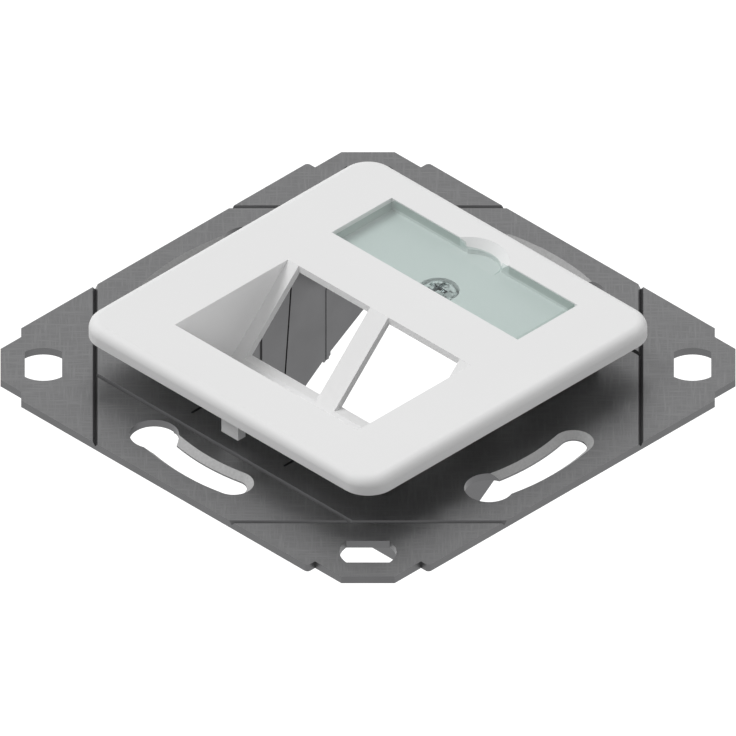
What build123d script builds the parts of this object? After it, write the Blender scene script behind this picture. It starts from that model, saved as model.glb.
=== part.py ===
from build123d import *
import math
import os

# Flush-mounted outlet module holder for two data modules, in millimetres.
# The origin is the centre of the support frame on its rear face, which lies against the wall.
# X runs across the wall, Y points up the wall and Z points into the room.

# Support frame, stamped from sheet steel
SHEET = 1.0
FRAME_SIDE = 70.0
TAB_INSET = 1.29
TAB_CUT = 5.05
SLOPED_SHOULDER_CUT = 2.5
SQUARE_SHOULDER_SETBACK = 10.35
SHOULDER_ROUND = 0.5
TAB_HOLE_SETBACK = 5.2
TAB_HOLE_RADIUS = 3.45
TAB_HOLE_FLATS = 4.5

# Score lines pressed into the frame's front, where it folds or breaks off
SCORE_WIDTH = 0.6
SCORE_DEPTH = 0.5
CORNER_SCORE_SETBACK = 11.45
CROSS_SCORE_COVERED = 0.25

# Keyhole slots for the screws of the wall box
SLOT_EDGE = 5.3
SLOT_WIDTH = 3.25
SLOT_BEVEL_WIDTH = 0.85
SLOT_BEVEL_DEPTH = 0.78
SLOT_HEAD_RADIUS = 3.0
SLOT_HEAD_TURN = 15.5
SLOT_END_TURN = 11.8

# Opening in the frame, with the tongue that the cover is screwed to
APERTURE_GAP = 0.3
APERTURE_ROUND = 0.8
TONGUE_HALF_WIDTH = 13.0
TONGUE_FRONT = 9.0
SCREW_PLACE = 12.0
THREAD_RADIUS = 1.5
THREAD_GAP = 0.05
COLLAR_WALL = 0.7
COLLAR_DROP = 0.9
SLIT_PLACE = 7.9
SLIT_WIDTH = 0.35
SLIT_LENGTH = 4.0

# Module carrier, a bent sheet that stands in the frame's opening
CARRIER_SHEET = 1.0
CARRIER_INNER_HALF = 15.0
CARRIER_FRONT = -18.0
CARRIER_REAR = 20.0
CARRIER_FRONT_LINE = -24.0
CARRIER_LOWER_SLOPE = 0.6026
CARRIER_LOWER_START = -14.08
CARRIER_BEND = 0.3
CARRIER_GAP = 0.4
CARRIER_TOP = 0.7
EAR_TOP = 5.5
EAR_BACK = 4.2
NIB_PLACE = 7.5
NIB_LENGTH = 1.1
NIB_DROP = 0.5
FOOT_REACH = 3.53
FRONT_FOOT_SETBACK = 1.3
FRONT_FOOT_LENGTH = 3.1
REAR_FOOT_SETBACK = 1.0
REAR_FOOT_LENGTH = 9.5

# Slits that free a spring finger in each cheek of the carrier
FINGER_SLIT_PLACE = -3.3
FINGER_SLIT_WIDTH = 0.43
FINGER_SLIT_END = -8.0
LATCH_SLIT_PLACE = 1.53
LATCH_SLIT_WIDTH = 0.25
LATCH_SLIT_END = -8.4
LATCH_SLIT_LEAN = 4.75
BEAD_PLACE = 8.03
BEAD_WIDTH = 0.45
BEAD_DEPTH = 0.08

# Rivets that hold the carrier to the frame
RIVET_RADIUS = 1.0
RIVET_GAP = 0.05
RIVET_HEAD_RADIUS = 1.5
RIVET_HEAD_HEIGHT = 0.5
RIVET_TAIL_RADIUS = 1.4
RIVET_TAIL_HEIGHT = 0.4
RIVET_SETBACK = 1.63

# Cover plate, moulded
COVER_SIDE = 50.0
COVER_CORNER = 3.8
COVER_EDGE = 1.28
COVER_BASE = 5.43
COVER_TOP = 7.75
COVER_WALL = 0.95
FOOT_WIDTH = 2.84
FOOT_DEPTH = 1.27
FOOT_PLACE = 23.64
FOOT_BOTTOM = 2.19

# Sloping outlet pocket in the cover and its two windows
POCKET_OVERHANG = 0.62
POCKET_BACK = 1.94
POCKET_FRONT = -17.4
POCKET_SIDE_WALL = 0.95
POCKET_WALL = 0.93
WINDOW_BAR = 3.1
WINDOW_MARGIN = 1.22
WINDOW_DROP = 9.28

# Label recess in the cover and its clear window
LABEL_HALF_WIDTH = 15.9
LABEL_FRONT = 9.7
LABEL_BACK = 19.95
LABEL_DEPTH = 1.75
LABEL_SUNK = 1.15
LABEL_GAP = 0.05
LABEL_END_GAP = 0.5
NOTCH_RADIUS = 5.0
NOTCH_LOWER_RADIUS = 4.0
NOTCH_DEPTH = 2.2

# Cover screw with a cross recess
SCREW_HEAD_RADIUS = 2.45
SCREW_HEAD_HEIGHT = 1.8
SCREW_HEAD_ROUND = 0.8
SCREW_HEAD_GAP = 0.15
SCREW_SEAT_DEPTH = 1.9
SCREW_LENGTH = 6.0
SCREW_HOLE_GAP = 0.1
SCREW_TIP = 0.4
RECESS_WIDTH = 0.62
RECESS_SPAN = 2.9
RECESS_DEPTH = 1.0
RECESS_TAPER = 12.0
BOSS_RADIUS = 3.3

# Sizes worked out from the ones above
QUARTER_TURN = 90
HALF_SIDE = FRAME_SIDE / 2
HALF_DIAGONAL = HALF_SIDE * math.sqrt(2)
TAB_REACH = HALF_DIAGONAL - TAB_CUT
SLOPED_SHOULDER_REACH = TAB_REACH - SLOPED_SHOULDER_CUT
SQUARE_SHOULDER_PLACE = HALF_SIDE - SQUARE_SHOULDER_SETBACK
TAB_HOLE_REACH = TAB_REACH - TAB_HOLE_SETBACK
CORNER_SCORE_REACH = TAB_REACH - CORNER_SCORE_SETBACK
CROSS_SCORE_PLACE = COVER_SIDE / 2 - CROSS_SCORE_COVERED
SLOT_RADIUS = HALF_SIDE - SLOT_EDGE
POCKET_HALF_WIDTH = CARRIER_INNER_HALF + POCKET_OVERHANG
WINDOW_WIDTH = CARRIER_INNER_HALF - WINDOW_MARGIN - WINDOW_BAR / 2
CARRIER_OUTER_HALF = CARRIER_INNER_HALF + CARRIER_SHEET
POCKET_OUTER_HALF = POCKET_HALF_WIDTH + POCKET_SIDE_WALL
APERTURE_HALF_WIDTH = max(CARRIER_OUTER_HALF, POCKET_OUTER_HALF) + APERTURE_GAP
APERTURE_FRONT = CARRIER_FRONT - APERTURE_GAP
APERTURE_REAR = CARRIER_REAR + APERTURE_GAP
FRONT_FOOT_START = CARRIER_FRONT + FRONT_FOOT_SETBACK
FRONT_FOOT = (FRONT_FOOT_START, FRONT_FOOT_START + FRONT_FOOT_LENGTH)
REAR_FOOT_END = CARRIER_REAR - REAR_FOOT_SETBACK
REAR_FOOT = (REAR_FOOT_END - REAR_FOOT_LENGTH, REAR_FOOT_END)
FOOT_TOP = SHEET + CARRIER_SHEET
COVER_INSIDE = COVER_TOP - COVER_WALL
POCKET_WALL_UPRIGHT = POCKET_WALL * math.sqrt(2)
LABEL_FLOOR_TOP = COVER_TOP - LABEL_DEPTH
LABEL_TOP = COVER_TOP - LABEL_SUNK
SCREW_SEAT = LABEL_FLOOR_TOP - SCREW_SEAT_DEPTH
SCREW_HEAD_TOP = SCREW_SEAT + SCREW_HEAD_HEIGHT
NOTCH_PLACE = LABEL_BACK + NOTCH_DEPTH - NOTCH_RADIUS
RIVET_PLACES = [
    (side * (APERTURE_HALF_WIDTH + RIVET_SETBACK), sum(foot) / 2)
    for side in (-1, 1)
    for foot in (FRONT_FOOT, REAR_FOOT)
]


def face_of(points):
    """Flat face inside a closed outline of straight runs."""
    return make_face(Polyline(*points, close=True))


def block(x_range, y_range, z_range):
    """Box between two limits on each axis."""
    size = [high - low for low, high in (x_range, y_range, z_range)]
    middle = [(high + low) / 2 for low, high in (x_range, y_range, z_range)]
    return Pos(*middle) * Box(*size)


def across(points, low_x, high_x):
    """Solid with an outline drawn in Y and Z, running along X."""
    return Pos(low_x, 0, 0) * extrude(Plane.YZ * face_of(points), high_x - low_x)


def drilled(x, y, radius, low_z, high_z):
    """Cylinder used as a hole or a shank, upright at a place on the frame."""
    return Pos(x, y, (low_z + high_z) / 2) * Cylinder(radius, high_z - low_z)


def score_line(turn, place, length):
    """V-shaped groove in the frame's front face, across the direction given by the turn."""
    section = [(-SCORE_WIDTH / 2, SHEET), (0, SHEET - SCORE_DEPTH), (SCORE_WIDTH / 2, SHEET)]
    groove = across(section, -length / 2, length / 2)
    return Rot(0, 0, turn) * Pos(0, place, 0) * groove


def frame_outline():
    """Square with a tab at each corner: two corners have sloped shoulders and two have square ones."""
    tab_side = HALF_SIDE - TAB_INSET
    tab_end = TAB_REACH * math.sqrt(2) - tab_side
    slope_start = SLOPED_SHOULDER_REACH * math.sqrt(2) - HALF_SIDE
    slope_end = SLOPED_SHOULDER_REACH * math.sqrt(2) - tab_side
    step = SQUARE_SHOULDER_PLACE
    sloped = [(HALF_SIDE, slope_start), (tab_side, slope_end), (tab_side, tab_end)]
    sloped += [(y, x) for x, y in reversed(sloped)]
    square = [(-step, HALF_SIDE), (-step, tab_side), (-tab_end, tab_side)]
    square += [(-y, -x) for x, y in reversed(square)]
    half = sloped + square
    return half + [(-x, -y) for x, y in half]


def keyhole_slot(turn):
    """Countersunk arc slot round the frame's centre with a plain round hole at one end for a screw head."""
    start = turn - SLOT_HEAD_TURN
    path = CenterArc((0, 0), SLOT_RADIUS, start, SLOT_HEAD_TURN + SLOT_END_TURN)
    land = Pos(0, 0, SHEET - SLOT_BEVEL_DEPTH) * SlotArc(path, SLOT_WIDTH)
    mouth = Pos(0, 0, SHEET) * SlotArc(path, SLOT_WIDTH + 2 * SLOT_BEVEL_WIDTH)
    head_x = SLOT_RADIUS * math.cos(math.radians(start))
    head_y = SLOT_RADIUS * math.sin(math.radians(start))
    slot = extrude(SlotArc(path, SLOT_WIDTH), SHEET) + drilled(head_x, head_y, SLOT_HEAD_RADIUS, 0, SHEET)
    return slot + loft([land, mouth], ruled=True)


def tab_hole(turn):
    """Round hole with two flats, near the end of a corner tab."""
    outline = Circle(TAB_HOLE_RADIUS) & Rectangle(TAB_HOLE_FLATS, 2 * TAB_HOLE_RADIUS)
    return extrude(Rot(0, 0, turn) * Pos(TAB_HOLE_REACH, 0) * outline, SHEET)


def aperture():
    """Opening for the modules, with two arms that leave the screw tongue between them."""
    tongue = TONGUE_HALF_WIDTH
    right = [
        (tongue, TONGUE_FRONT),
        (tongue, APERTURE_REAR),
        (APERTURE_HALF_WIDTH, APERTURE_REAR),
        (APERTURE_HALF_WIDTH, APERTURE_FRONT),
    ]
    outline = face_of(right + [(-x, y) for x, y in reversed(right)])
    return extrude(fillet(outline.vertices(), APERTURE_ROUND), SHEET)


def tongue_slit(side):
    """Narrow slit from the opening towards the frame's lower edge, round at its end."""
    slot = SlotOverall(2 * SLIT_LENGTH, SLIT_WIDTH, rotation=QUARTER_TURN)
    return extrude(Pos(side * SLIT_PLACE, APERTURE_FRONT) * slot, SHEET)


def support_frame():
    """Stamped frame that is screwed to the wall box and carries everything else."""
    outline = face_of(frame_outline())
    corners = [
        corner
        for corner in outline.vertices()
        if abs(max(abs(corner.X), abs(corner.Y)) - HALF_SIDE) < 0.01 and corner.X * corner.Y < 0
    ]
    frame = extrude(fillet(corners, SHOULDER_ROUND), SHEET)
    frame += drilled(0, SCREW_PLACE, THREAD_RADIUS + COLLAR_WALL, -COLLAR_DROP, SHEET)
    frame -= aperture()
    frame -= drilled(0, SCREW_PLACE, THREAD_RADIUS + THREAD_GAP, -COLLAR_DROP, SHEET)
    for side in (-1, 1):
        frame -= tongue_slit(side)
    for side in range(4):
        turn = QUARTER_TURN * side
        frame -= keyhole_slot(turn)
        frame -= tab_hole(turn + QUARTER_TURN / 2)
        frame -= score_line(turn + QUARTER_TURN / 2, CORNER_SCORE_REACH, FRAME_SIDE)
    cross_length = 2 * (CORNER_SCORE_REACH * math.sqrt(2) - CROSS_SCORE_PLACE)
    for turn in (0, 2 * QUARTER_TURN):
        frame -= score_line(turn, CROSS_SCORE_PLACE, cross_length)
    for x, y in RIVET_PLACES:
        frame -= drilled(x, y, RIVET_RADIUS + RIVET_GAP, 0, SHEET)
        frame -= Pos(x, y, 0) * rivet_tail(RIVET_GAP)
    return frame


def carrier_lower_edge(y):
    """Height of the cheeks' sloping lower edge."""
    return CARRIER_LOWER_START + CARRIER_LOWER_SLOPE * y


def carrier_profile():
    """Side outline of the carrier, in Y and Z: it follows the back of the outlet pocket with a gap."""
    gap = CARRIER_GAP * math.sqrt(2)
    ramp = POCKET_FRONT + COVER_TOP - POCKET_WALL_UPRIGHT - gap
    slope = COVER_TOP - POCKET_BACK - POCKET_WALL_UPRIGHT - gap
    corner = (CARRIER_FRONT_LINE - CARRIER_LOWER_START) / (1 + CARRIER_LOWER_SLOPE)
    nib_end = NIB_PLACE + NIB_LENGTH
    return [
        (CARRIER_FRONT, CARRIER_TOP),
        (ramp - CARRIER_TOP, CARRIER_TOP),
        ((ramp - slope) / 2, (ramp + slope) / 2),
        (EAR_TOP - slope, EAR_TOP),
        (EAR_BACK, EAR_TOP),
        (EAR_BACK + EAR_TOP - CARRIER_TOP, CARRIER_TOP),
        (CARRIER_REAR, CARRIER_TOP),
        (CARRIER_REAR, carrier_lower_edge(CARRIER_REAR)),
        (nib_end, carrier_lower_edge(nib_end)),
        (nib_end, carrier_lower_edge(nib_end) - NIB_DROP),
        (NIB_PLACE, carrier_lower_edge(NIB_PLACE) - NIB_DROP),
        (NIB_PLACE, carrier_lower_edge(NIB_PLACE)),
        (corner, carrier_lower_edge(corner)),
        (CARRIER_FRONT, CARRIER_FRONT_LINE - CARRIER_FRONT),
    ]


def carrier_plan():
    """U-shaped plan of the carrier, with a bend at each front corner."""
    outer = [
        (-CARRIER_OUTER_HALF, CARRIER_REAR),
        (-CARRIER_OUTER_HALF, CARRIER_FRONT),
        (CARRIER_OUTER_HALF, CARRIER_FRONT),
        (CARRIER_OUTER_HALF, CARRIER_REAR),
    ]
    inner = [
        (-CARRIER_INNER_HALF, CARRIER_REAR),
        (-CARRIER_INNER_HALF, CARRIER_FRONT + CARRIER_SHEET),
        (CARRIER_INNER_HALF, CARRIER_FRONT + CARRIER_SHEET),
        (CARRIER_INNER_HALF, CARRIER_REAR),
    ]
    plan = fillet(face_of(outer).vertices().sort_by(Axis.Y)[:2], CARRIER_BEND + CARRIER_SHEET)
    return plan - fillet(face_of(inner).vertices().sort_by(Axis.Y)[:2], CARRIER_BEND)


def finger_slits():
    """Two slits through both cheeks that leave a spring finger between them."""
    reach = CARRIER_OUTER_HALF
    upright = block(
        (-reach, reach),
        (FINGER_SLIT_PLACE - FINGER_SLIT_WIDTH / 2, FINGER_SLIT_PLACE + FINGER_SLIT_WIDTH / 2),
        (FINGER_SLIT_END, EAR_TOP),
    )
    leaning = block((-reach, reach), (-LATCH_SLIT_WIDTH / 2, LATCH_SLIT_WIDTH / 2), (LATCH_SLIT_END, EAR_TOP + 1))
    return upright + Pos(0, LATCH_SLIT_PLACE, 0) * Rot(-LATCH_SLIT_LEAN, 0, 0) * leaning


def bead(side):
    """Shallow upright line embossed on a cheek's inner face."""
    inner = side * CARRIER_INNER_HALF
    x_range = sorted((inner, inner - side * BEAD_DEPTH))
    y_range = (BEAD_PLACE - BEAD_WIDTH / 2, BEAD_PLACE + BEAD_WIDTH / 2)
    return block(x_range, y_range, (carrier_lower_edge(BEAD_PLACE) - NIB_DROP, CARRIER_TOP))


def carrier_foot(side, foot):
    """Flange bent outwards from the top of a cheek to lie on the frame."""
    outer = APERTURE_HALF_WIDTH + FOOT_REACH
    section = [
        (CARRIER_INNER_HALF, 0),
        (CARRIER_INNER_HALF, FOOT_TOP),
        (outer, FOOT_TOP),
        (outer, SHEET),
        (CARRIER_OUTER_HALF, SHEET),
        (CARRIER_OUTER_HALF, 0),
    ]
    bent = face_of(section)
    corners = bent.vertices().sort_by(Axis.X)
    outside = corners[:2].sort_by(Axis.Y)[-1]
    inside = corners[2:4].sort_by(Axis.Y)[-1]
    bent = fillet(outside, CARRIER_BEND + CARRIER_SHEET)
    bent = fillet(bent.vertices().sort_by_distance(inside)[0], CARRIER_BEND)
    flange = Rot(QUARTER_TURN, 0, 0) * extrude(bent, foot[0] - foot[1])
    flange = Pos(0, foot[0], 0) * flange
    return flange if side > 0 else mirror(flange, Plane.YZ)


def module_carrier():
    """Bent sheet with a front wall, two cheeks beside the modules and four feet riveted to the frame."""
    low = min(z for _, z in carrier_profile())
    walls = Pos(0, 0, low) * extrude(carrier_plan(), EAR_TOP - low)
    carrier = walls & across(carrier_profile(), -CARRIER_OUTER_HALF, CARRIER_OUTER_HALF)
    carrier -= finger_slits()
    for side in (-1, 1):
        carrier += carrier_foot(side, FRONT_FOOT)
        carrier += carrier_foot(side, REAR_FOOT)
        carrier += bead(side)
    for x, y in RIVET_PLACES:
        carrier -= drilled(x, y, RIVET_RADIUS + RIVET_GAP, SHEET, FOOT_TOP)
    return carrier


def rivet_tail(extra):
    """Cone that fills the countersink behind the frame."""
    wide = RIVET_TAIL_RADIUS + extra
    return Pos(0, 0, RIVET_TAIL_HEIGHT / 2) * Cone(wide, RIVET_RADIUS + extra, RIVET_TAIL_HEIGHT)


def rivet(x, y):
    """Rivet with a domed head on the carrier's foot and a flush tail behind the frame."""
    dome_radius = (RIVET_HEAD_RADIUS**2 + RIVET_HEAD_HEIGHT**2) / (2 * RIVET_HEAD_HEIGHT)
    ball = Pos(0, 0, FOOT_TOP + RIVET_HEAD_HEIGHT - dome_radius) * Sphere(dome_radius)
    head = ball & drilled(0, 0, RIVET_HEAD_RADIUS, FOOT_TOP, FOOT_TOP + RIVET_HEAD_HEIGHT)
    body = drilled(0, 0, RIVET_RADIUS, 0, FOOT_TOP) + rivet_tail(0) + head
    return Pos(x, y, 0) * body


def pocket_outline(grow):
    """V-shaped side outline of the outlet pocket; growing it gives the outside of its walls."""
    above = COVER_TOP + 1
    back = COVER_TOP - POCKET_BACK - grow
    front = COVER_TOP + POCKET_FRONT - grow
    return [(above - back, above), (front - above, above), ((front - back) / 2, (front + back) / 2)]


def module_window(side):
    """Cutter for one window in the pocket's sloping face: level sill, upright head."""
    inner = WINDOW_BAR / 2
    sill = COVER_TOP - WINDOW_DROP
    behind = POCKET_BACK + POCKET_WALL_UPRIGHT + COVER_WALL
    outline = [
        (POCKET_BACK, COVER_TOP),
        (POCKET_BACK, COVER_INSIDE),
        (behind, COVER_INSIDE),
        (behind - WINDOW_DROP, sill),
        (POCKET_BACK - WINDOW_DROP, sill),
    ]
    cutter = across(outline, inner, inner + WINDOW_WIDTH)
    return cutter if side > 0 else mirror(cutter, Plane.YZ)


def label_recess():
    """Rectangular recess with a fingernail notch in its upper edge, tapered down to the label window."""
    middle = (LABEL_FRONT + LABEL_BACK) / 2
    recess = Pos(0, middle) * Rectangle(2 * LABEL_HALF_WIDTH, LABEL_BACK - LABEL_FRONT)
    taper = Pos(0, NOTCH_PLACE, COVER_TOP - LABEL_SUNK / 2) * Cone(NOTCH_LOWER_RADIUS, NOTCH_RADIUS, LABEL_SUNK)
    notch = taper + drilled(0, NOTCH_PLACE, NOTCH_LOWER_RADIUS, LABEL_FLOOR_TOP, LABEL_TOP)
    notch &= block((-HALF_SIDE, HALF_SIDE), (middle, HALF_SIDE), (0, COVER_TOP))
    return notch + Pos(0, 0, LABEL_FLOOR_TOP) * extrude(recess, LABEL_DEPTH)


def cover_shell():
    """Square plate with rounded corners and edges and a shallow hollow behind it."""
    plate = Pos(0, 0, COVER_BASE) * extrude(RectangleRounded(COVER_SIDE, COVER_SIDE, COVER_CORNER), COVER_TOP - COVER_BASE)
    plate = fillet(plate.faces().sort_by(Axis.Z)[-1].edges(), COVER_EDGE)
    hollow_side = COVER_SIDE - 2 * COVER_WALL
    hollow = RectangleRounded(hollow_side, hollow_side, COVER_CORNER - COVER_WALL)
    return plate - Pos(0, 0, COVER_BASE) * extrude(hollow, COVER_INSIDE - COVER_BASE)


def cover_plate():
    """Moulded cover with the sloping outlet pocket, the label recess, a screw boss and a foot."""
    cover = cover_shell()
    cover += block(
        (-LABEL_HALF_WIDTH - COVER_WALL, LABEL_HALF_WIDTH + COVER_WALL),
        (LABEL_FRONT - COVER_WALL, LABEL_BACK + COVER_WALL),
        (LABEL_FLOOR_TOP - COVER_WALL, COVER_INSIDE),
    )
    cover += drilled(0, NOTCH_PLACE, NOTCH_RADIUS + COVER_WALL / 2, LABEL_FLOOR_TOP - COVER_WALL, COVER_INSIDE)
    cover += drilled(0, SCREW_PLACE, BOSS_RADIUS, SHEET, COVER_INSIDE)
    outside = across(pocket_outline(POCKET_WALL_UPRIGHT), -POCKET_OUTER_HALF, POCKET_OUTER_HALF)
    lowest = min(z for _, z in pocket_outline(POCKET_WALL_UPRIGHT))
    cover += outside & block(
        (-COVER_SIDE, COVER_SIDE), (-COVER_SIDE, COVER_SIDE), (lowest, COVER_TOP - COVER_WALL / 2)
    )
    foot_range = (-FOOT_PLACE, FOOT_DEPTH - FOOT_PLACE)
    cover += block((-FOOT_WIDTH / 2, FOOT_WIDTH / 2), foot_range, (FOOT_BOTTOM, COVER_INSIDE))
    cover -= across(pocket_outline(0), -POCKET_HALF_WIDTH, POCKET_HALF_WIDTH)
    for side in (-1, 1):
        cover -= module_window(side)
    cover -= label_recess()
    cover -= drilled(0, SCREW_PLACE, SCREW_HEAD_RADIUS + SCREW_HEAD_GAP, SCREW_SEAT, LABEL_FLOOR_TOP)
    cover -= drilled(0, SCREW_PLACE, THREAD_RADIUS + SCREW_HOLE_GAP, SHEET, SCREW_SEAT)
    return cover


def label_window():
    """Clear plate on the floor of the label recess, with a round lug that fills the notch's foot."""
    middle = (LABEL_FRONT + LABEL_BACK) / 2
    width = 2 * (LABEL_HALF_WIDTH - LABEL_END_GAP)
    height = LABEL_BACK - LABEL_FRONT - 2 * LABEL_GAP
    lug = Pos(0, NOTCH_PLACE) * Circle(NOTCH_LOWER_RADIUS - LABEL_GAP)
    outline = Pos(0, middle) * Rectangle(width, height) + lug
    return Pos(0, 0, LABEL_FLOOR_TOP) * extrude(outline, LABEL_DEPTH - LABEL_SUNK)


def cross_recess():
    """Two crossing tapered slots in the top of the screw's head."""
    slope = RECESS_DEPTH * math.tan(math.radians(RECESS_TAPER))
    outline = [
        (-RECESS_SPAN / 2, 0),
        (RECESS_SPAN / 2, 0),
        (RECESS_SPAN / 2 - 2 * slope, -RECESS_DEPTH),
        (-RECESS_SPAN / 2 + 2 * slope, -RECESS_DEPTH),
    ]
    arm = across(outline, -RECESS_WIDTH / 2, RECESS_WIDTH / 2)
    return arm + Rot(0, 0, QUARTER_TURN) * arm


def cover_screw():
    """Pan-head screw from the label recess into the frame's threaded collar."""
    head = Pos(0, SCREW_PLACE, SCREW_SEAT) * extrude(Circle(SCREW_HEAD_RADIUS), SCREW_HEAD_HEIGHT)
    head = fillet(head.faces().sort_by(Axis.Z)[-1].edges(), SCREW_HEAD_ROUND)
    shank = drilled(0, SCREW_PLACE, THREAD_RADIUS, SCREW_SEAT - SCREW_LENGTH, SCREW_SEAT)
    shank = chamfer(shank.faces().sort_by(Axis.Z)[0].edges(), SCREW_TIP)
    screw = head + shank
    return screw - Pos(0, SCREW_PLACE, SCREW_HEAD_TOP) * cross_recess()


os.makedirs("parts", exist_ok=True)
export_step(support_frame(), "parts/support_frame.step")
export_step(module_carrier(), "parts/module_carrier.step")
export_step(Compound([rivet(x, y) for x, y in RIVET_PLACES]), "parts/carrier_rivets.step")
export_step(cover_plate(), "parts/cover_plate.step")
export_step(cover_screw(), "parts/cover_screw.step")
export_step(label_window(), "parts/label_window.step")
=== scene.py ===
import math

import bmesh
import bpy
from mathutils import Matrix, Vector


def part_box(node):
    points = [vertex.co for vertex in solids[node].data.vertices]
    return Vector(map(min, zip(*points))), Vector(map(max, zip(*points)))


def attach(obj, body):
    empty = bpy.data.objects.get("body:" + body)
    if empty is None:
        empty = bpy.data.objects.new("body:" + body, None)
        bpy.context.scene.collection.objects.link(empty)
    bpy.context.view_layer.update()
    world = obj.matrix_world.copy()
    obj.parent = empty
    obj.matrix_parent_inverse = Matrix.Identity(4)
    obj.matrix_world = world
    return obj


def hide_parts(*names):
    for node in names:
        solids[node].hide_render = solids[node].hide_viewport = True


bl_info = {
    "name": "Outlet module holder",
    "version": (1, 0, 0),
    "blender": (4, 5, 0),
    "location": "3D View > Sidebar > Module holder",
    "description": "Finishes the outlet module holder, makes its carrier, window and screw, and lights it",
    "category": "Object",
}

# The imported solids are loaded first, because some of the values below are read from them.
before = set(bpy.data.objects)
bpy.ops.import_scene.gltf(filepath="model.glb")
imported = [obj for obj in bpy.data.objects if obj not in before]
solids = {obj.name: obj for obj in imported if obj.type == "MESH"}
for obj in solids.values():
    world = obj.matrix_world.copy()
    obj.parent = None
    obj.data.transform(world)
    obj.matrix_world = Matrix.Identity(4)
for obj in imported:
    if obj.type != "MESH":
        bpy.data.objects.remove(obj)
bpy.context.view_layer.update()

MM = 0.001
HOLDER = "holder"
CLEAR_WINDOW = "clear_window"

# Where the solids of the screw and the window stand
SCREW_LOW, SCREW_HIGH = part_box("cover_screw")
SCREW_AXIS = (SCREW_LOW + SCREW_HIGH) / 2
SCREW_HEAD_RADIUS = (SCREW_HIGH.x - SCREW_LOW.x) / 2
PANE_LOW, PANE_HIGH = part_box("label_window")

# Corners of a solid's triangles that lie closer than this are one corner.
WELD_DISTANCE = 0.001 * MM

# Corners this close to the carrier's sloping front edge belong to it.
EDGE_TOLERANCE = 0.01 * MM

# Y of the window plate's back edge, to both sides of its round lug
PANE_BACK = 19.9 * MM

# The scoop's cutter reaches this far past the window's lug and above the window.
SCOOP_MARGIN = 0.2 * MM
SCOOP_HEADROOM = 1.0 * MM

# The screw's shank is plain for a short way under the head, and its thread runs out at the tip.
PLAIN_LENGTH = 0.3 * MM
TIP_LENGTH = 0.4 * MM

# Power of the thread's flanks, where 1 is a sharp V and more rounds the crest
THREAD_ROUNDING = 1.3

# At its floor the cross recess has these shares of its span and width. Its cutter starts above the head.
RECESS_FLOOR_SPAN = 0.62
RECESS_FLOOR_WIDTH = 0.75
RECESS_HEADROOM = 0.05 * MM

# Steps round the screw, along one turn of its thread, up its head and round the window's lug
THREAD_STEPS = 36
PITCH_STEPS = 8
HEAD_STEPS = 14
LUG_STEPS = 24

# Faces that meet at a smaller angle than this are shaded as one curve.
SMOOTH_ANGLE = math.radians(32)

# Upright part of a face's normal: less than the first is a side, and more than the second a level face.
SIDE_LIMIT = 0.3
LEVEL_LIMIT = 0.9

# The frame's slots follow a circle round its centre. Their countersinks reach this far to each side of it,
# and this far from the middle of the frame's sides.
SLOT_CIRCLE = 29.7 * MM
SLOT_REACH = 2.6 * MM
SLOT_SPAN = 10.7 * MM

# Width, length and height of a brush mark, in brush spacings
BRUSH_MARK = (1, 14, 3)

# Sizes of the clouds in the rolled zinc, the scuffs in the countersinks, the flow in the moulded cover,
# the ripple in the window, the wear of the plating and the fibres of the paper
CLOUD_SIZE = 6 * MM
SCUFF_SIZE = 0.3 * MM
FLOW_SIZE = 14 * MM
RIPPLE_SIZE = 5 * MM
WEAR_SIZE = 0.5 * MM
FIBRE_SIZE = 2 * MM

# Share of its colour that each finish keeps where it is darkest
BRUSHED_SHARE = 0.82
SCUFFED_SHARE = 0.7
MOULDED_SHARE = 0.975
SCREW_SHARE = 0.4
RIVET_SHARE = 0.85
PAPER_SHARE = 0.98

# The photograph is a parallel view from above one corner.
CAMERA_AZIMUTH = 45.0
CAMERA_ELEVATION = 35.264
CAMERA_DISTANCE = 0.4
CAMERA_WIDTH = 0.0890
CAMERA_AIM = (0.0, 0.0, 0.00045)
CAMERA_FAR_END = 10.0

# The key light's direction, and the middle of the studio's dimmer side, which the frame's lower edge faces
TOWARDS_KEY = (-0.64, -0.4, 1.0)
DIM_SIDE = (0.0, -1.0, 0.2)

# The floor reaches this far to each side.
FLOOR_REACH = 6.0


def linear(hex_colour):
    """Linear RGBA of an sRGB hex colour such as 8C8F91."""
    channels = [int(hex_colour[i:i + 2], 16) / 255 for i in (0, 2, 4)]
    return [c / 12.92 if c <= 0.04045 else ((c + 0.055) / 1.055) ** 2.4 for c in channels] + [1.0]


def darker(colour, share):
    """Linear RGBA colour that keeps a share of its brightness."""
    return [share * c for c in colour[:3]] + [1.0]


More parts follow.
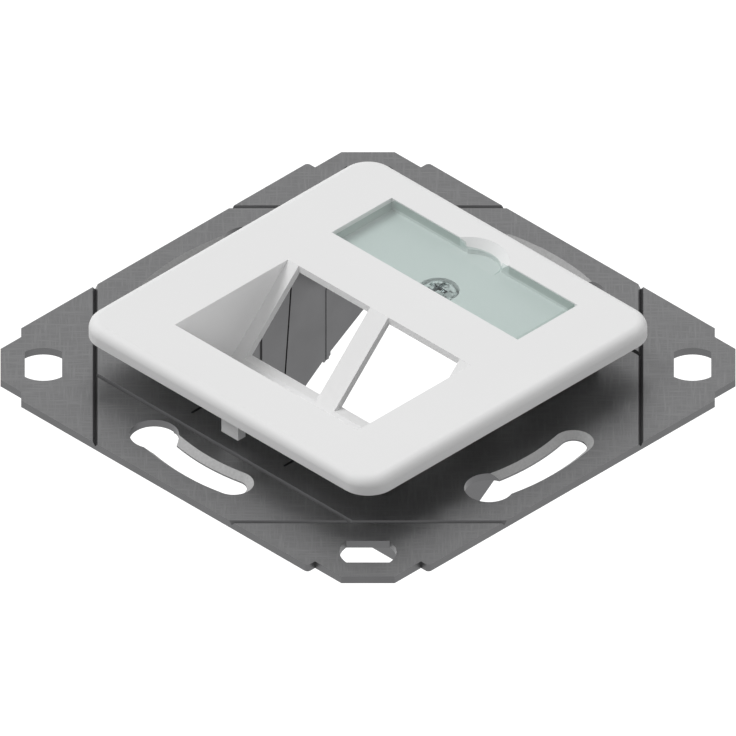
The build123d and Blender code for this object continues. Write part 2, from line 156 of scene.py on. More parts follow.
class FinishSettings(bpy.types.PropertyGroup):
    """Colours and textures of the holder's finishes."""

    plastic_colour: bpy.props.StringProperty(
        name="Cover colour", description="sRGB hex colour of the moulded cover", default="ECECEC")
    frame_colour: bpy.props.StringProperty(
        name="Frame steel", description="sRGB hex reflectance of the frame's sheet", default="9A9A9B")
    carrier_colour: bpy.props.StringProperty(
        name="Carrier steel", description="sRGB hex reflectance of the carrier's sheet", default="808081")
    # Painted shade as well as the cut edges' own colour: every upright face of the sheets takes this darker
    # tone.
    cut_edge_and_shade_colour: bpy.props.StringProperty(
        name="Sheared edges", description="sRGB hex reflectance of the sheets' cut edges", default="6C6C6D")
    # Painted shade: the darker tone of the score lines' leaning faces stands in for the shade in their
    # creases.
    score_crease_shade_colour: bpy.props.StringProperty(
        name="Score lines", description="sRGB hex reflectance of the frame's pressed score lines",
        default="7A7A7B")
    # Painted reflection: this bright tone stands in for the bright reflection on the countersinks' slopes.
    countersink_reflection_colour: bpy.props.StringProperty(
        name="Countersinks", description="sRGB hex reflectance of the slots' pressed countersinks",
        default="C4C4C4")
    pressed_roughness: bpy.props.FloatProperty(
        name="Countersink roughness", description="Roughness of the slots' pressed countersinks",
        default=0.75, min=0.0, max=1.0)
    pressed_scatter: bpy.props.FloatProperty(
        name="Countersink scatter", description="Share of the countersinks' light that their marks scatter",
        default=0.85, min=0.0, max=1.0)
    window_colour: bpy.props.StringProperty(
        name="Window tint", description="sRGB hex colour of light through one face of the window",
        default="F3F7F6")
    # Painted shade: this darker tint on the window's ends and back stands in for the shade seen through them.
    window_end_shade_colour: bpy.props.StringProperty(
        name="Window sides", description="sRGB hex colour of light through one side of the window",
        default="E6EBE9")
    screw_colour: bpy.props.StringProperty(
        name="Plating", description="sRGB hex reflectance of the plated screw and rivets", default="F0F1F2")
    brush_spacing: bpy.props.FloatProperty(
        name="Brush spacing", description="Distance between the brush marks of the sheet",
        default=0.25 * MM, min=0.02 * MM, unit="LENGTH")
    mould_grain: bpy.props.FloatProperty(
        name="Mould grain", description="Size of the cover's faint moulded grain",
        default=0.35 * MM, min=0.05 * MM, unit="LENGTH")


class CarrierSettings(bpy.types.PropertyGroup):
    """Sizes of the module carrier's lower end."""

    front_drop: bpy.props.FloatProperty(
        name="Front drop", description="How far the sloping front edge lies below the solid's",
        default=1.8 * MM, unit="LENGTH")
    lower_end: bpy.props.FloatProperty(
        name="Lower end", description="Height of the level lower end", default=-16.6 * MM, unit="LENGTH")


class WindowSettings(bpy.types.PropertyGroup):
    """Sizes of the label window."""

    top: bpy.props.FloatProperty(
        name="Top", description="Height of the window's upper face", default=7.62 * MM, unit="LENGTH")
    lift: bpy.props.FloatProperty(
        name="Lift", description="Room for the screw's head under the window",
        default=0.45 * MM, unit="LENGTH")
    scoop_centre: bpy.props.FloatProperty(
        name="Scoop centre", description="Y of the middle of the fingernail's scoop",
        default=17.15 * MM, unit="LENGTH")
    scoop_radius: bpy.props.FloatProperty(
        name="Scoop radius", description="Radius of the fingernail's scoop and of the window's lug",
        default=3.95 * MM, unit="LENGTH")
    scoop_depth: bpy.props.FloatProperty(
        name="Scoop depth", description="Depth of the scoop at the notch's wall",
        default=0.85 * MM, unit="LENGTH")


class ScrewSettings(bpy.types.PropertyGroup):
    """Sizes of the cover screw."""

    head_height: bpy.props.FloatProperty(
        name="Head height", description="Height of the pan head", default=2.25 * MM, unit="LENGTH")
    head_rise: bpy.props.FloatProperty(
        name="Head rise", description="How far the domed head stands above the solid's",
        default=0.45 * MM, unit="LENGTH")
    head_fullness: bpy.props.FloatProperty(
        name="Head fullness", description="Power of the head's curve: 1 is a half ellipse, less is fuller",
        default=0.5, min=0.2, max=1.0)
    thread_radius: bpy.props.FloatProperty(
        name="Thread radius", description="Outer radius of the thread", default=1.5 * MM, unit="LENGTH")
    thread_depth: bpy.props.FloatProperty(
        name="Thread depth", description="Depth of the thread's groove", default=0.28 * MM, unit="LENGTH")
    thread_pitch: bpy.props.FloatProperty(
        name="Thread pitch", description="Rise of the thread in one turn", default=0.5 * MM, unit="LENGTH")
    recess_width: bpy.props.FloatProperty(
        name="Recess width", description="Width of each arm of the cross recess",
        default=0.62 * MM, unit="LENGTH")
    recess_span: bpy.props.FloatProperty(
        name="Recess span", description="Length of the cross recess from tip to tip",
        default=2.9 * MM, unit="LENGTH")
    recess_depth: bpy.props.FloatProperty(
        name="Recess depth", description="Depth of the cross recess", default=1.0 * MM, unit="LENGTH")


class StudioSettings(bpy.types.PropertyGroup):
    """Floor and light."""

    floor_drop: bpy.props.FloatProperty(
        name="Floor drop", description="Distance from the wall plane down to the floor",
        default=0.12, unit="LENGTH")
    floor_colour: bpy.props.StringProperty(
        name="Floor colour", description="sRGB hex colour of the floor's grey paper", default="7C7C7C")
    floor_lift: bpy.props.FloatProperty(
        name="Floor lift", description="Extra brightness that takes the floor to white in the picture",
        default=1.0, min=0.0, max=1.0)
    key_strength: bpy.props.FloatProperty(
        name="Key light", description="Strength of the soft key light", default=1.55, min=0.0)
    key_softness: bpy.props.FloatProperty(
        name="Key softness", description="Angle that the key light fills",
        default=math.radians(35), subtype="ANGLE")
    sky_zenith: bpy.props.FloatProperty(
        name="Sky overhead", description="Brightness of the studio overhead", default=0.5, min=0.0)
    sky_horizon: bpy.props.FloatProperty(
        name="Sky at the horizon", description="Brightness of the studio at the horizon",
        default=0.85, min=0.0)
    sky_dimming: bpy.props.FloatProperty(
        name="Dim side", description="How much dimmer the studio is towards the frame's lower edge",
        default=0.5, min=0.0, max=1.0)


def new_material(name):
    """Empty material, ready for add_node."""
    material = bpy.data.materials.new(name)
    material.use_nodes = True
    material.node_tree.nodes.clear()
    return material


def add_node(tree, kind, inputs=None, output=None, **settings):
    """Adds one node with its settings, and links or sets its inputs.

    It returns the output that is named, or else the first one in use, if the node has any.
    """
    node = tree.nodes.new(kind)
    for name, value in settings.items():
        setattr(node, name, value)
    for socket, value in (inputs or {}).items():
        if isinstance(value, bpy.types.NodeSocket):
            tree.links.new(value, node.inputs[socket])
        else:
            node.inputs[socket].default_value = value
    if output:
        return node.outputs[output]
    in_use = [socket for socket in node.outputs if not socket.is_unavailable]
    return in_use[0] if in_use else None


def size_along(tree, vector, axis):
    """Size of a vector along one axis, whichever way it points."""
    along = add_node(tree, "ShaderNodeSeparateXYZ", {"Vector": vector}, output=axis)
    return add_node(tree, "ShaderNodeMath", {0: along}, operation="ABSOLUTE")


def both_true(tree, first, second):
    """1 where both of two comparisons hold, each an operation, a value and its limit, and 0 elsewhere."""
    held = []
    for operation, value, limit in (first, second):
        held.append(add_node(tree, "ShaderNodeMath", {0: value, 1: limit}, operation=operation))
    return add_node(tree, "ShaderNodeMath", {0: held[0], 1: held[1]}, operation="MULTIPLY")


def brush_marks(tree, place, finish):
    """Crossing hairlines along the sheet's diagonals, many times as long as they are wide."""
    per_metre = 1 / finish.brush_spacing
    streaks = []
    for turn in (45, 135):
        laid = add_node(tree, "ShaderNodeMapping", {"Vector": place, "Rotation": (0, 0, math.radians(turn))})
        stretched = add_node(tree, "ShaderNodeMapping", {
            "Vector": laid,
            "Scale": [per_metre / spacings for spacings in BRUSH_MARK],
        })
        streaks.append(add_node(tree, "ShaderNodeTexNoise", {
            "Vector": stretched, "Scale": 1.0, "Detail": 2.0, "Roughness": 0.6}))
    strongest = add_node(tree, "ShaderNodeMath", {0: streaks[0], 1: streaks[1]}, operation="MAXIMUM")
    return add_node(tree, "ShaderNodeMapRange", {"Value": strongest, "From Min": 0.45, "From Max": 0.75})


def near_slots(tree, place):
    """1 in the four places where the frame's slots lie, and 0 elsewhere."""
    flat = add_node(tree, "ShaderNodeVectorMath", {0: place, 1: (1, 1, 0)}, operation="MULTIPLY")
    reach = add_node(tree, "ShaderNodeVectorMath", {0: flat}, operation="LENGTH")
    past_circle = add_node(tree, "ShaderNodeMath", {0: reach, 1: SLOT_CIRCLE}, operation="SUBTRACT")
    off_circle = add_node(tree, "ShaderNodeMath", {0: past_circle}, operation="ABSOLUTE")
    off_middle = add_node(tree, "ShaderNodeMath", {
        0: size_along(tree, place, "X"),
        1: size_along(tree, place, "Y"),
    }, operation="MINIMUM")
    return both_true(tree, ("LESS_THAN", off_circle, SLOT_REACH), ("LESS_THAN", off_middle, SLOT_SPAN))


def galvanised_sheet(name, finish, face_colour, pressed):
    """Zinc-coated sheet steel, rolled and finely brushed: dull grey faces with crossing hairlines."""
    material = new_material(name)
    tree = material.node_tree
    place = add_node(tree, "ShaderNodeTexCoord", output="Object")
    marks = brush_marks(tree, place, finish)
    # Rolling leaves clouds a few millimetres across, some duller than others.
    clouds = add_node(tree, "ShaderNodeTexNoise", {"Vector": place, "Scale": 1 / CLOUD_SIZE, "Detail": 3.0})
    roughness = add_node(tree, "ShaderNodeMapRange", {
        "Value": clouds, "From Min": 0.3, "From Max": 0.7, "To Min": 0.36, "To Max": 0.46})
    metallic = 1.0
    face = linear(face_colour)
    tone = add_node(tree, "ShaderNodeMix", {
        "Factor": marks, "A": darker(face, BRUSHED_SHARE), "B": face}, data_type="RGBA")
    # Upright faces are painted darker and duller than level faces: partly the sheared edges, which lose the
    # zinc, and partly painted shade on every upright face.
    level = size_along(tree, add_node(tree, "ShaderNodeNewGeometry", output="True Normal"), "Z")
    upright_faces = add_node(tree, "ShaderNodeMath", {0: level, 1: SIDE_LIMIT}, operation="LESS_THAN")
    tone = add_node(tree, "ShaderNodeMix", {
        "Factor": upright_faces, "A": tone, "B": linear(finish.cut_edge_and_shade_colour)}, data_type="RGBA")
    if pressed:
        leaning = both_true(tree, ("GREATER_THAN", level, SIDE_LIMIT), ("LESS_THAN", level, LEVEL_LIMIT))
        tone, roughness, metallic = pressed_slopes(tree, place, finish, leaning, tone, roughness)
    relief = add_node(tree, "ShaderNodeBump", {"Height": marks, "Strength": 0.1, "Distance": 0.02 * MM})
    shader = add_node(tree, "ShaderNodeBsdfPrincipled", {
        "Base Color": tone, "Roughness": roughness, "Metallic": metallic, "Normal": relief})
    add_node(tree, "ShaderNodeOutputMaterial", {"Surface": shader})
    return material


def pressed_slopes(tree, place, finish, leaning, tone, roughness):
    """Tone, roughness and metallic of the sheet's pressed, leaning faces, with painted shade in the score
    lines and a painted reflection in the countersinks.
    """
    # Painted shade: leaning faces, the score lines among them, are painted darker than the sheet, for the
    # shade in their creases.
    tone = add_node(tree, "ShaderNodeMix", {
        "Factor": leaning, "A": tone, "B": linear(finish.score_crease_shade_colour)}, data_type="RGBA")
    # Painted reflection: the slots' countersinks get a bright, matt tone that stands in for their bright
    # reflection, with fine scuffs that scatter light like paint.
    countersunk = add_node(tree, "ShaderNodeMath", {
        0: leaning, 1: near_slots(tree, place)}, operation="MULTIPLY")
    scuffs = add_node(tree, "ShaderNodeTexNoise", {"Vector": place, "Scale": 1 / SCUFF_SIZE, "Detail": 2.0})
    bright = linear(finish.countersink_reflection_colour)
    scuffs_and_reflection = add_node(tree, "ShaderNodeMix", {
        "Factor": scuffs, "A": darker(bright, SCUFFED_SHARE), "B": bright}, data_type="RGBA")
    tone = add_node(tree, "ShaderNodeMix", {
        "Factor": countersunk, "A": tone, "B": scuffs_and_reflection}, data_type="RGBA")
    matt = add_node(tree, "ShaderNodeMath", {
        0: countersunk, 1: finish.pressed_roughness}, operation="MULTIPLY")
    roughness = add_node(tree, "ShaderNodeMath", {0: roughness, 1: matt}, operation="MAXIMUM")
    scattered = add_node(tree, "ShaderNodeMath", {
        0: countersunk, 1: finish.pressed_scatter}, operation="MULTIPLY")
    metallic = add_node(tree, "ShaderNodeMath", {0: 1.0, 1: scattered}, operation="SUBTRACT")
    return tone, roughness, metallic


def moulded_abs(name, finish):
    """White ABS from a polished mould: clean, softly glossy, with the faintest grain and flow shading."""
    material = new_material(name)
    tree = material.node_tree
    place = add_node(tree, "ShaderNodeTexCoord", output="Object")
    grain = add_node(tree, "ShaderNodeTexNoise", {
        "Vector": place, "Scale": 1 / finish.mould_grain, "Detail": 1.0})
    flow = add_node(tree, "ShaderNodeTexNoise", {"Vector": place, "Scale": 1 / FLOW_SIZE, "Detail": 2.0})
    white = linear(finish.plastic_colour)
    tone = add_node(tree, "ShaderNodeMix", {
        "Factor": flow, "A": darker(white, MOULDED_SHARE), "B": white}, data_type="RGBA")
    sheen = add_node(tree, "ShaderNodeMapRange", {
        "Value": grain, "From Min": 0.3, "From Max": 0.7, "To Min": 0.46, "To Max": 0.54})
    relief = add_node(tree, "ShaderNodeBump", {"Height": grain, "Strength": 0.05, "Distance": 0.01 * MM})
    shader = add_node(tree, "ShaderNodeBsdfPrincipled", {
        "Base Color": tone,
        "Roughness": sheen,
        "Normal": relief,
        "IOR": 1.54,
        "Specular IOR Level": 0.2,
    })
    add_node(tree, "ShaderNodeOutputMaterial", {"Surface": shader})
    return material


def clear_polycarbonate(name, finish, notch_radius):
    """Clear polycarbonate with a faint green cast: what lies behind shows a little darker and cooler."""
    material = new_material(name)
    tree = material.node_tree
    place = add_node(tree, "ShaderNodeTexCoord", output="Object")
    ripple = add_node(tree, "ShaderNodeTexNoise", {"Vector": place, "Scale": 1 / RIPPLE_SIZE, "Detail": 1.0})
    polish = add_node(tree, "ShaderNodeMapRange", {"Value": ripple, "To Min": 0.03, "To Max": 0.1})
    # Painted shade: the ends and back, away from the notch, pass light with a darker tint than the faces, for
    # the shade seen through them.
    level = size_along(tree, add_node(tree, "ShaderNodeNewGeometry", output="True Normal"), "Z")
    shaded_ends = both_true(tree, ("LESS_THAN", level, SIDE_LIMIT),
                       ("GREATER_THAN", size_along(tree, place, "X"), notch_radius))
    tint = add_node(tree, "ShaderNodeMix", {
        "Factor": shaded_ends,
        "A": linear(finish.window_colour),
        "B": linear(finish.window_end_shade_colour),
    }, data_type="RGBA")
    # What lies behind shows straight through the flat pane, and the light that falls in is tinted too.
    passing = add_node(tree, "ShaderNodeBsdfTransparent", {"Color": tint})
    gloss = add_node(tree, "ShaderNodeBsdfGlossy", {"Roughness": polish})
    mirrored = add_node(tree, "ShaderNodeFresnel", {"IOR": 1.5})
    # Only the outer side of a face mirrors, and only to the camera, so the pane's inside stays clear.
    seen = add_node(tree, "ShaderNodeLightPath", output="Is Camera Ray")
    inside = add_node(tree, "ShaderNodeNewGeometry", output="Backfacing")
    outside = add_node(tree, "ShaderNodeMath", {0: seen, 1: inside}, operation="SUBTRACT")
    outside = add_node(tree, "ShaderNodeMath", {0: outside, 1: 0.0}, operation="MAXIMUM")
    pane = add_node(tree, "ShaderNodeMixShader", {
        0: add_node(tree, "ShaderNodeMath", {0: mirrored, 1: outside}, operation="MULTIPLY"),
        1: passing,
        2: gloss,
    })
    add_node(tree, "ShaderNodeOutputMaterial", {"Surface": pane})
    return material


def bright_plating(name, finish, thin_share):
    """Steel with bright zinc plating: mirror-like, and darker in patches that keep a share of its colour."""
    material = new_material(name)
    tree = material.node_tree
    place = add_node(tree, "ShaderNodeTexCoord", output="Object")
    wear = add_node(tree, "ShaderNodeTexNoise", {"Vector": place, "Scale": 1 / WEAR_SIZE, "Detail": 3.0})
    polish = add_node(tree, "ShaderNodeMapRange", {
        "Value": wear, "From Min": 0.3, "From Max": 0.7, "To Min": 0.1, "To Max": 0.2})
    relief = add_node(tree, "ShaderNodeBump", {"Height": wear, "Strength": 0.15, "Distance": 0.02 * MM})
    # The plating is darker in patches, where a tool has worn it thin.
    patches = add_node(tree, "ShaderNodeMapRange", {"Value": wear, "From Min": 0.38, "From Max": 0.48})
    bright = linear(finish.screw_colour)
    tone = add_node(tree, "ShaderNodeMix", {
        "Factor": patches, "A": darker(bright, thin_share), "B": bright}, data_type="RGBA")
    shader = add_node(tree, "ShaderNodeBsdfPrincipled", {
        "Base Color": tone, "Roughness": polish, "Metallic": 1.0, "Normal": relief})
    add_node(tree, "ShaderNodeOutputMaterial", {"Surface": shader})
    return material


def shade_by_angle(piece):
    """Shades curved runs smoothly, keeps every other edge crisp and leaves flat faces flat."""
    mesh = piece.data
    if "custom_normal" in mesh.attributes:
        mesh.attributes.remove(mesh.attributes["custom_normal"])
    mesh.polygons.foreach_set("use_smooth", [True] * len(mesh.polygons))
    split = piece.modifiers.new("crisp edges", "EDGE_SPLIT")
    split.split_angle = SMOOTH_ANGLE
    split.use_edge_sharp = False
    flat = piece.modifiers.new("flat faces stay flat", "WEIGHTED_NORMAL")
    flat.mode = "FACE_AREA"
    flat.weight = 100


def dress(node, material):
    """Gives a solid its finish and joins its triangles' corners so that curves shade smoothly."""
    piece = solids[node]
    weld = piece.modifiers.new("join split corners", "WELD")
    weld.merge_threshold = WELD_DISTANCE
    piece.data.materials.clear()
    piece.data.materials.append(material)
    shade_by_angle(piece)


def object_from(name, build):
    """Object made by a function that fills a bmesh."""
    mesh = bpy.data.meshes.new(name)
    shape = bmesh.new()
    build(shape)
    bmesh.ops.recalc_face_normals(shape, faces=shape.faces)
    shape.to_mesh(mesh)
    shape.free()
    made = bpy.data.objects.new(name, mesh)
    bpy.context.scene.collection.objects.link(made)
    return made


def mesh_piece(name, build, material, body):
    """Piece made by a function that fills a bmesh, dressed and riding on a body."""
    piece = object_from(name, build)
    piece.data.materials.append(material)
    shade_by_angle(piece)
    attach(piece, body)
    return piece


def cut_away(piece, name, build):
    """Cuts the closed shape that a function fills out of a piece, and takes off the piece's modifiers."""
    cutter = object_from(name, build)
    piece.modifiers.clear()
    cut = piece.modifiers.new(name, "BOOLEAN")
    cut.object = cutter
    cut.use_self = True
    cut.solver = "EXACT"
    bpy.context.view_layer.update()
    piece.data = bpy.data.meshes.new_from_object(piece.evaluated_get(bpy.context.evaluated_depsgraph_get()))
    piece.modifiers.clear()
    bpy.data.objects.remove(cutter)


def add_wall(shape, first, second):
    """Closed band of faces between two loops of corners."""
    for i in range(len(first)):
        j = (i + 1) % len(first)
        shape.faces.new((first[i], second[i], second[j], first[j]))


def fill_carrier(shape, carrier):
    """The carrier's solid with its sloping front edge let down and its lower end cut off level."""
    solid = solids["module_carrier"]
    shape.from_mesh(solid.data)
    bmesh.ops.transform(shape, matrix=solid.matrix_world, verts=shape.verts)
    bmesh.ops.remove_doubles(shape, verts=shape.verts, dist=WELD_DISTANCE)
    # The front edge slopes at 45 degrees, so Y plus Z is the same all along it.
    lowest = min(vert.co.y + vert.co.z for vert in shape.verts)
    for vert in shape.verts:
        if vert.co.y + vert.co.z < lowest + EDGE_TOLERANCE:
            vert.co.z -= carrier.front_drop
    parts = shape.verts[:] + shape.edges[:] + shape.faces[:]
    cut = bmesh.ops.bisect_plane(
        shape, geom=parts, plane_co=(0, 0, carrier.lower_end), plane_no=(0, 0, -1), clear_outer=True)
    rim = [part for part in cut["geom_cut"] if isinstance(part, bmesh.types.BMEdge)]
    bmesh.ops.holes_fill(shape, edges=rim)


def fill_prism(shape, outline, low, top):
    """Upright prism over an outline of (x, y) points. Its lower and upper heights are functions of y."""
    lower = [shape.verts.new((x, y, low(y))) for x, y in outline]
    upper = [shape.verts.new((x, y, top(y))) for x, y in outline]
    shape.faces.new(list(reversed(lower)))
    shape.faces.new(upper)
    add_wall(shape, lower, upper)


def fill_pane(shape, window):
    """The window's plate with its round lug in the notch, raised so that the screw's head fits under it."""
    half = PANE_HIGH.x
    reach = math.acos((PANE_BACK - window.scoop_centre) / window.scoop_radius)
    outline = [(-half, PANE_LOW.y), (half, PANE_LOW.y), (half, PANE_BACK)]
    for i in range(LUG_STEPS + 1):
        turn = reach - 2 * reach * i / LUG_STEPS
        outline.append((window.scoop_radius * math.sin(turn),
                        window.scoop_centre + window.scoop_radius * math.cos(turn)))
    outline.append((-half, PANE_BACK))
    fill_prism(shape, outline, lambda y: PANE_LOW.z + window.lift, lambda y: window.top)


def fill_scoop(shape, window):
    """Cutter for the scoop: a round prism whose floor falls evenly towards the notch's wall."""
    radius = window.scoop_radius + SCOOP_MARGIN
    outline = []
    for i in range(2 * LUG_STEPS):
        turn = math.pi * i / LUG_STEPS
        outline.append((radius * math.cos(turn), window.scoop_centre + radius * math.sin(turn)))
    slope = window.scoop_depth / radius
    fill_prism(shape, outline, lambda y: window.top - slope * (y - window.scoop_centre),
               lambda y: window.top + SCOOP_HEADROOM)


def head_seat(screw):
    """Height of the underside of the screw's head."""
    return SCREW_HIGH.z + screw.head_rise - screw.head_height


def head_profile(screw):
    """Half section of the screw's head, from beside its middle to the shank, as radius and height."""
    seat = head_seat(screw)
    points = []
    for step in range(1, HEAD_STEPS):
        turn = math.pi / 2 * step / HEAD_STEPS
        points.append((SCREW_HEAD_RADIUS * math.sin(turn) ** screw.head_fullness,
                       seat + screw.head_height * math.cos(turn) ** screw.head_fullness))
    return points + [(SCREW_HEAD_RADIUS, seat), (screw.thread_radius, seat)]


def thread_radius_at(screw, angle, height):
    """Radius of the thread at an angle and height: a V with a round crest that climbs one pitch a turn."""
    phase = (height / screw.thread_pitch + angle / (2 * math.pi)) % 1
    return screw.thread_radius - screw.thread_depth * abs(2 * phase - 1) ** THREAD_ROUNDING


def thread_ring(screw, height):
    """Radii round the shank at one height, smaller by up to the thread's depth at the tip."""
    fade = min(1, (height - SCREW_LOW.z) / TIP_LENGTH)
    radii = []
    for i in range(THREAD_STEPS):
        radius = thread_radius_at(screw, 2 * math.pi * i / THREAD_STEPS, height)
        radii.append(radius - (1 - fade) * screw.thread_depth)
    return radii


def fill_screw(shape, screw):
    """Pan head turned from its profile, with a threaded shank below it."""
    centre = Vector((SCREW_AXIS.x, SCREW_AXIS.y, 0))
    start = head_seat(screw) - PLAIN_LENGTH
    length = start - SCREW_LOW.z
    steps = int(length / (screw.thread_pitch / PITCH_STEPS))
    rings = [([radius] * THREAD_STEPS, height) for radius, height in head_profile(screw)]
    for step in range(steps + 1):
        height = start - length * step / steps
        rings.append((thread_ring(screw, height), height))
    loops = []
    for radii, height in rings:
        loop = []
        for i, radius in enumerate(radii):
            angle = 2 * math.pi * i / THREAD_STEPS
            spoke = Vector((radius * math.cos(angle), radius * math.sin(angle), height))
            loop.append(shape.verts.new(centre + spoke))
        loops.append(loop)
    for upper, lower in zip(loops, loops[1:]):
        add_wall(shape, upper, lower)
    shape.faces.new(loops[0])
    shape.faces.new(list(reversed(loops[-1])))


def fill_recess_bar(shape, screw, turn):
    """Cutter for one bar of the cross recess, which tapers to its floor."""
    spin = Matrix.Rotation(math.radians(turn), 3, "Z")
    top = SCREW_HIGH.z + screw.head_rise
    ends = []
    for height, span_share, width_share in (
            (top + RECESS_HEADROOM, 1, 1),
            (top - screw.recess_depth, RECESS_FLOOR_SPAN, RECESS_FLOOR_WIDTH)):
        half = screw.recess_span / 2 * span_share
        wide = screw.recess_width / 2 * width_share
        middle = Vector((SCREW_AXIS.x, SCREW_AXIS.y, height))
        corners = ((-half, -wide), (half, -wide), (half, wide), (-half, wide))
        ends.append([shape.verts.new(spin @ Vector((x, y, 0)) + middle) for x, y in corners])
    upper, lower = ends
    shape.faces.new(upper)
    shape.faces.new(list(reversed(lower)))
    add_wall(shape, upper, lower)


class HOLDER_OT_dress_support_frame(bpy.types.Operator):
    """Gives the stamped support frame its sheet steel finish"""

    bl_idname = "holder.dress_support_frame"
    bl_label = "Dress the support frame"

    def execute(self, context):
        finish = context.scene.holder_finish
        steel = galvanised_sheet("zinc-coated sheet, stamped", finish, finish.frame_colour, True)
        dress("support_frame", steel)
        return {"FINISHED"}


class HOLDER_OT_make_module_carrier(bpy.types.Operator):
    """Makes the bent module carrier from its solid, with a lower front edge and a level lower end"""

    bl_idname = "holder.make_module_carrier"
    bl_label = "Make the module carrier"

    def execute(self, context):
        carrier = context.scene.holder_carrier
        finish = context.scene.holder_finish
        steel = galvanised_sheet("zinc-coated sheet, bent", finish, finish.carrier_colour, False)
        piece = mesh_piece("module_carrier_bent", lambda shape: fill_carrier(shape, carrier), steel, HOLDER)
        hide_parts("module_carrier")
        return {"FINISHED"}


class HOLDER_OT_dress_rivets(bpy.types.Operator):
    """Gives the carrier's rivets their plated finish"""

    bl_idname = "holder.dress_rivets"
    bl_label = "Dress the rivets"

    def execute(self, context):
        plating = bright_plating("zinc-plated rivet", context.scene.holder_finish, RIVET_SHARE)
        dress("carrier_rivets", plating)
        return {"FINISHED"}


class HOLDER_OT_dress_cover(bpy.types.Operator):
    """Gives the moulded cover its white ABS finish"""

    bl_idname = "holder.dress_cover"
    bl_label = "Dress the cover"

    def execute(self, context):
        dress("cover_plate", moulded_abs("white ABS, moulded", context.scene.holder_finish))
        return {"FINISHED"}


class HOLDER_OT_make_label_window(bpy.types.Operator):
    """Makes the clear label window at its full height, with the fingernail's scoop"""

    bl_idname = "holder.make_label_window"
    bl_label = "Make the label window"

    def execute(self, context):
        window = context.scene.holder_window
        clear = clear_polycarbonate("polycarbonate, clear", context.scene.holder_finish,
                                    window.scoop_radius + SCOOP_MARGIN)
        pane = mesh_piece("label_window_scooped", lambda shape: fill_pane(shape, window), clear, CLEAR_WINDOW)
        cut_away(pane, "scoop", lambda shape: fill_scoop(shape, window))
        pane.data.polygons.foreach_set("use_smooth", [False] * len(pane.data.polygons))
        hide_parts("label_window")
        return {"FINISHED"}


class HOLDER_OT_make_cover_screw(bpy.types.Operator):
    """Makes the cover screw with its thread and cross recess"""

    bl_idname = "holder.make_cover_screw"
    bl_label = "Make the cover screw"

    def execute(self, context):
        screw = context.scene.holder_screw
        plating = bright_plating("zinc-plated screw", context.scene.holder_finish, SCREW_SHARE)
        body = mesh_piece("cover_screw_turned", lambda shape: fill_screw(shape, screw), plating, HOLDER)
        for turn in (0, 90):
            cut_away(body, "cross recess", lambda shape: fill_recess_bar(shape, screw, turn))
        shade_by_angle(body)
        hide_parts("cover_screw")
        return {"FINISHED"}


def studio_floor(name, studio):
    """Grey matt paper that takes the part's shadow and reads as white in the picture."""
    material = new_material(name)
    tree = material.node_tree
    place = add_node(tree, "ShaderNodeTexCoord", output="Object")
    fibres = add_node(tree, "ShaderNodeTexNoise", {"Vector": place, "Scale": 1 / FIBRE_SIZE})
    grey = linear(studio.floor_colour)
    tone = add_node(tree, "ShaderNodeMix", {
        "Factor": fibres, "A": darker(grey, PAPER_SHARE), "B": grey}, data_type="RGBA")
    paper = add_node(tree, "ShaderNodeBsdfDiffuse", {"Color": tone})
    # The camera sees the extra brightness, also through the window and in mirrors, but it lights nothing.
    path = add_node(tree, "ShaderNodeLightPath").node
    seen = path.outputs["Is Camera Ray"]
    for ray in ("Is Transmission Ray", "Is Glossy Ray"):
        seen = add_node(tree, "ShaderNodeMath", {0: seen, 1: path.outputs[ray]}, operation="MAXIMUM")
    lift = add_node(tree, "ShaderNodeMath", {0: seen, 1: studio.floor_lift}, operation="MULTIPLY")
    white = add_node(tree, "ShaderNodeEmission", {"Strength": lift})
    added = add_node(tree, "ShaderNodeAddShader", {0: paper, 1: white})
    add_node(tree, "ShaderNodeOutputMaterial", {"Surface": added})
    return material


def light_studio(studio):
    """Light from all round, dimmer overhead and towards the frame's lower edge, and a soft key light."""
    world = bpy.data.worlds.new("studio sky")
    world.use_nodes = True
    tree = world.node_tree
    tree.nodes.clear()
    outward = add_node(tree, "ShaderNodeTexCoord", output="Generated")
    height = add_node(tree, "ShaderNodeSeparateXYZ", {"Vector": outward}, output="Z")
    rising = add_node(tree, "ShaderNodeMapRange", {
        "Value": height,
        "From Min": 0.35,
        "From Max": 0.85,
        "To Min": studio.sky_horizon,
        "To Max": studio.sky_zenith,
    }, interpolation_type="SMOOTHSTEP")
    toward_dim = add_node(tree, "ShaderNodeVectorMath", {0: outward, 1: DIM_SIDE}, operation="DOT_PRODUCT")
    dimming = add_node(tree, "ShaderNodeMapRange", {
        "Value": toward_dim,
        "From Min": 0.2,
        "From Max": 1.0,
        "To Min": 1.0,
        "To Max": 1.0 - studio.sky_dimming,
    })
    strength = add_node(tree, "ShaderNodeMath", {0: rising, 1: dimming}, operation="MULTIPLY")
    sky = add_node(tree, "ShaderNodeBackground", {"Color": (1, 1, 1, 1), "Strength": strength})
    add_node(tree, "ShaderNodeOutputWorld", {"Surface": sky})
    bpy.context.scene.world = world
    lamp = bpy.data.lights.new("key light", "SUN")
    lamp.energy = studio.key_strength
    lamp.angle = studio.key_softness
    key = bpy.data.objects.new("key light", lamp)
    bpy.context.scene.collection.objects.link(key)
    key.rotation_euler = Vector(TOWARDS_KEY).to_track_quat("Z", "Y").to_euler()


def place_camera():
    """Parallel camera at the photograph's angle."""
    lens = bpy.data.cameras.new("camera")
    lens.type = "ORTHO"
    lens.ortho_scale = CAMERA_WIDTH
    lens.clip_end = CAMERA_FAR_END
    camera = bpy.data.objects.new("camera", lens)
    bpy.context.scene.collection.objects.link(camera)
    turn = math.radians(CAMERA_AZIMUTH)
    rise = math.radians(CAMERA_ELEVATION)
    back = Vector((math.sin(turn) * math.cos(rise), -math.cos(turn) * math.cos(rise), math.sin(rise)))
    camera.location = Vector(CAMERA_AIM) + back * CAMERA_DISTANCE
    camera.rotation_euler = back.to_track_quat("Z", "Y").to_euler()
    bpy.context.scene.camera = camera


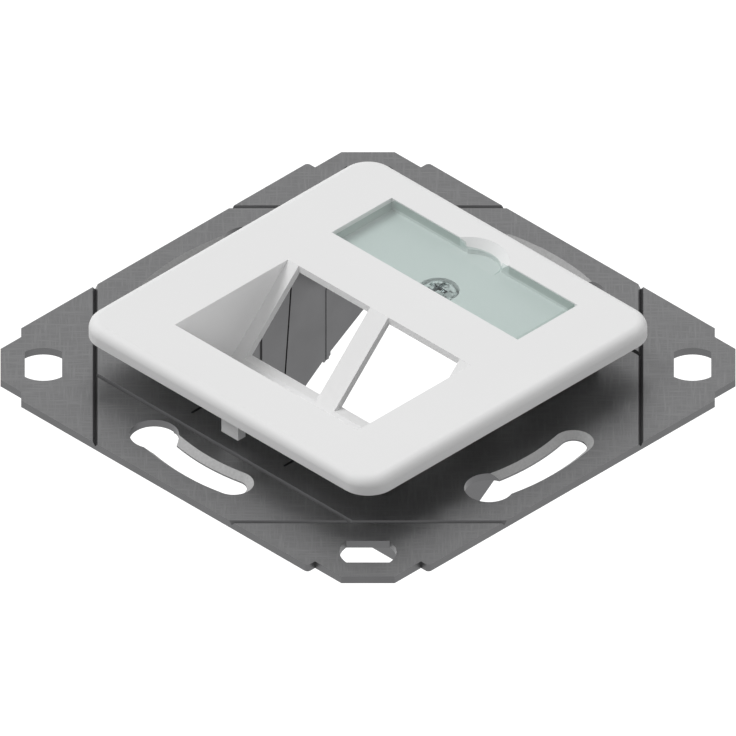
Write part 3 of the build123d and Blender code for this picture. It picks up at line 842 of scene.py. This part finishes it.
class HOLDER_OT_make_stage(bpy.types.Operator):
    """Lays the floor and sets the light and the camera"""

    bl_idname = "holder.make_stage"
    bl_label = "Make the stage"

    def execute(self, context):
        studio = context.scene.holder_studio
        mesh = bpy.data.meshes.new("floor")
        corners = [(x * FLOOR_REACH, y * FLOOR_REACH, -studio.floor_drop)
                   for x, y in ((-1, -1), (1, -1), (1, 1), (-1, 1))]
        mesh.from_pydata(corners, [], [(0, 1, 2, 3)])
        floor = bpy.data.objects.new("floor", mesh)
        context.scene.collection.objects.link(floor)
        mesh.materials.append(studio_floor("matt paper floor", studio))
        light_studio(studio)
        place_camera()
        context.scene.view_settings.view_transform = "Standard"
        return {"FINISHED"}


class HOLDER_PT_sidebar(bpy.types.Panel):
    """Lists the holder's steps and settings"""

    bl_idname = "HOLDER_PT_sidebar"
    bl_label = "Module holder"
    bl_space_type = "VIEW_3D"
    bl_region_type = "UI"
    bl_category = "Module holder"

    def draw(self, context):
        layout = self.layout
        for operator in OPERATORS:
            layout.operator(operator.bl_idname)
        for settings in SETTINGS:
            group = getattr(context.scene, settings)
            box = layout.box()
            for name in group.__annotations__:
                box.prop(group, name)


OPERATORS = (
    HOLDER_OT_dress_support_frame,
    HOLDER_OT_make_module_carrier,
    HOLDER_OT_dress_rivets,
    HOLDER_OT_dress_cover,
    HOLDER_OT_make_label_window,
    HOLDER_OT_make_cover_screw,
    HOLDER_OT_make_stage,
)
SETTINGS = {
    "holder_finish": FinishSettings,
    "holder_carrier": CarrierSettings,
    "holder_window": WindowSettings,
    "holder_screw": ScrewSettings,
    "holder_studio": StudioSettings,
}
CLASSES = tuple(SETTINGS.values()) + OPERATORS + (HOLDER_PT_sidebar,)


def register():
    """Registers the classes and puts the settings on the scene."""
    for kind in CLASSES:
        bpy.utils.register_class(kind)
    for name, kind in SETTINGS.items():
        setattr(bpy.types.Scene, name, bpy.props.PointerProperty(type=kind))


def unregister():
    """Takes the settings off the scene and the classes out of Blender."""
    for name in SETTINGS:
        delattr(bpy.types.Scene, name)
    for kind in reversed(CLASSES):
        bpy.utils.unregister_class(kind)


def main():
    """Makes the whole scene."""
    register()
    bpy.ops.holder.dress_support_frame()
    bpy.ops.holder.make_module_carrier()
    bpy.ops.holder.dress_rivets()
    bpy.ops.holder.dress_cover()
    bpy.ops.holder.make_label_window()
    bpy.ops.holder.make_cover_screw()
    bpy.ops.holder.make_stage()


if __name__ == "__main__":
    main()
